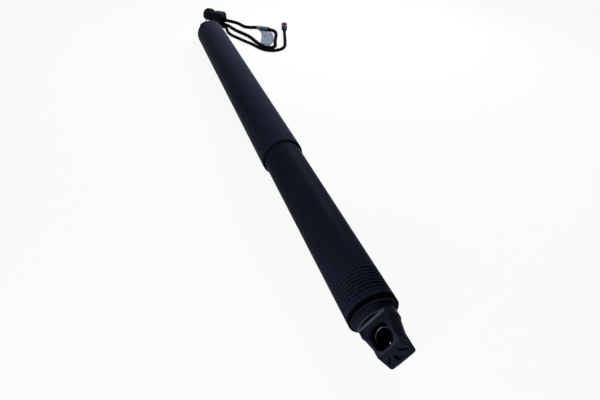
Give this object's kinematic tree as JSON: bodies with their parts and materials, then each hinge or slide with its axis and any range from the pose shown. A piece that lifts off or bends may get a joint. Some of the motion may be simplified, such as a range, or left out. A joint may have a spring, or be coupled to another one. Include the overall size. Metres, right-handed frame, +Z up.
{
  "type": "electric tailgate lift strut",
  "caption": "Telescoping electric lift strut with a ball socket at each end, a motor-driven spindle inside and a cable with connectors, lying fully extended",
  "frame": {"origin": "centre of the ball that the cable-end socket takes", "axes": "+X along the strut from the cable end to the other end, +Z up from the table it lies on, +Y to the side where the cables lie"},
  "size_m": [0.6745, 0.1507, 0.038],
  "materials": {
    "tube_paint": "satin",
    "socket_plastic": "moulded",
    "slide_plastic": "smooth",
    "spring_steel": "bright",
    "dark_steel": "oiled",
    "gear_steel": "ground",
    "zinc_plate": "plated",
    "magnet": "sintered",
    "copper": "enamelled",
    "brass": "turned",
    "carbon": "pressed",
    "board": "solder mask",
    "gear_plastic": "moulded",
    "seal_rubber": "matt",
    "cable_sleeve": "braided",
    "wire": "smooth",
    "connector_plastic": "moulded",
    "signal_connector_plastic": "moulded",
    "lock_plastic": "smooth",
    "label_film": "film"
  },
  "bodies": {
    "housing": {"outer_tube": "tube_paint", "mouth_bush": "slide_plastic", "mouth_wiper": "seal_rubber", "cable_end_socket": "socket_plastic", "cable_end_clip": "spring_steel", "cable_end_seal": "seal_rubber", "main_cable_grommet": "seal_rubber", "signal_cable_grommet": "seal_rubber", "motor_can": "zinc_plate", "motor_cap": "gear_plastic", "motor_magnets": "magnet", "motor_bearings": "brass", "brush_card": "gear_plastic", "brushes": "carbon", "sensor_board": "board", "motor_leads": "wire", "motor_dampers": "seal_rubber", "ring_gear": "gear_plastic", "bearing_holder": "gear_plastic", "bearing_outer_race": "gear_steel", "guide_tube": "dark_steel", "power_spring": "spring_steel", "main_cable": "cable_sleeve", "signal_cable": "cable_sleeve", "main_connector": "connector_plastic", "main_connector_terminals": "brass", "main_connector_nut": "seal_rubber", "signal_connector": "signal_connector_plastic", "cable_label": "label_film"},
    "inner_tube_group": {"inner_tube": "tube_paint", "slide_ring": "slide_plastic", "spindle_nut": "slide_plastic", "push_tube": "zinc_plate", "near_socket": "socket_plastic", "near_clip": "spring_steel", "near_seal": "seal_rubber"},
    "rotor": {"motor_shaft": "gear_steel", "rotor_core": "dark_steel", "rotor_windings": "copper", "commutator": "copper", "sensor_magnet": "magnet", "sun_gear": "gear_steel"},
    "first_carrier_group": {"first_carrier": "gear_steel", "first_planet_pins": "gear_steel"},
    "spindle_group": {"second_carrier": "gear_steel", "second_planet_pins": "gear_steel", "clutch_drum": "gear_steel", "clutch_discs": "dark_steel", "spindle": "gear_steel", "spindle_collar": "gear_steel", "spindle_stop": "slide_plastic", "bearing_inner_race": "gear_steel"},
    "ball_set": {"bearing_balls": "gear_steel"},
    "lock": {"signal_connector_lock": "lock_plastic"},
    "planet_one_1": {"first_planet_1": "gear_plastic"},
    "planet_two_1": {"second_planet_1": "gear_steel"},
    "planet_one_2": {"first_planet_2": "gear_plastic"},
    "planet_two_2": {"second_planet_2": "gear_steel"},
    "planet_one_3": {"first_planet_3": "gear_plastic"},
    "planet_two_3": {"second_planet_3": "gear_steel"}
  },
  "joints": [
    {"name": "motor_spin", "type": "hinge", "parent": "housing", "child": "rotor", "pos_m": [0.09, 0, 0], "axis": [1, 0, 0], "range_deg": [0, 90000]},
    {"name": "tube_slide", "type": "slide", "parent": "housing", "child": "inner_tube_group", "axis": [1, 0, 0], "range_m": [-0.15, 0], "deforming": ["power_spring"]},
    {"name": "first_carrier_turn", "type": "hinge", "parent": "housing", "child": "first_carrier_group", "pos_m": [0.128, 0, 0], "axis": [1, 0, 0], "range_deg": [0, 18000]},
    {"name": "spindle_turn", "type": "hinge", "parent": "housing", "child": "spindle_group", "pos_m": [0.16, 0, 0], "axis": [1, 0, 0], "range_deg": [0, 3600]},
    {"name": "bearing_balls_turn", "type": "hinge", "parent": "housing", "child": "ball_set", "pos_m": [0.156, 0, 0], "axis": [1, 0, 0], "range_deg": [0, 1372.5]},
    {"name": "first_planet_1_spin", "type": "hinge", "parent": "first_carrier_group", "child": "planet_one_1", "pos_m": [0.122, 0, 0.009], "axis": [1, 0, 0], "range_deg": [-48000, 0]},
    {"name": "second_planet_1_spin", "type": "hinge", "parent": "spindle_group", "child": "planet_two_1", "pos_m": [0.135, 0, 0.009], "axis": [1, 0, 0], "range_deg": [-9600, 0]},
    {"name": "first_planet_2_spin", "type": "hinge", "parent": "first_carrier_group", "child": "planet_one_2", "pos_m": [0.122, 0.00779, -0.0045], "axis": [1, 0, 0], "range_deg": [-48000, 0]},
    {"name": "second_planet_2_spin", "type": "hinge", "parent": "spindle_group", "child": "planet_two_2", "pos_m": [0.135, 0.00779, -0.0045], "axis": [1, 0, 0], "range_deg": [-9600, 0]},
    {"name": "first_planet_3_spin", "type": "hinge", "parent": "first_carrier_group", "child": "planet_one_3", "pos_m": [0.122, -0.00779, -0.0045], "axis": [1, 0, 0], "range_deg": [-48000, 0]},
    {"name": "second_planet_3_spin", "type": "hinge", "parent": "spindle_group", "child": "planet_two_3", "pos_m": [0.135, -0.00779, -0.0045], "axis": [1, 0, 0], "range_deg": [-9600, 0]},
    {"name": "signal_lock_slide", "type": "slide", "parent": "housing", "child": "lock", "axis": [0.9522, -0.3054, 0], "range_m": [-0.0015, 0]}
  ],
  "couplings": [
    {"joint": "motor_spin", "follows": "tube_slide", "rad_per_m": -10472},
    {"joint": "first_carrier_turn", "follows": "tube_slide", "rad_per_m": -2094.4},
    {"joint": "spindle_turn", "follows": "tube_slide", "rad_per_m": -418.88},
    {"joint": "bearing_balls_turn", "follows": "tube_slide", "rad_per_m": -159.7},
    {"joint": "first_planet_1_spin", "follows": "tube_slide", "rad_per_m": 5585.1},
    {"joint": "second_planet_1_spin", "follows": "tube_slide", "rad_per_m": 1117},
    {"joint": "first_planet_2_spin", "follows": "tube_slide", "rad_per_m": 5585.1},
    {"joint": "second_planet_2_spin", "follows": "tube_slide", "rad_per_m": 1117},
    {"joint": "first_planet_3_spin", "follows": "tube_slide", "rad_per_m": 5585.1},
    {"joint": "second_planet_3_spin", "follows": "tube_slide", "rad_per_m": 1117}
  ]
}
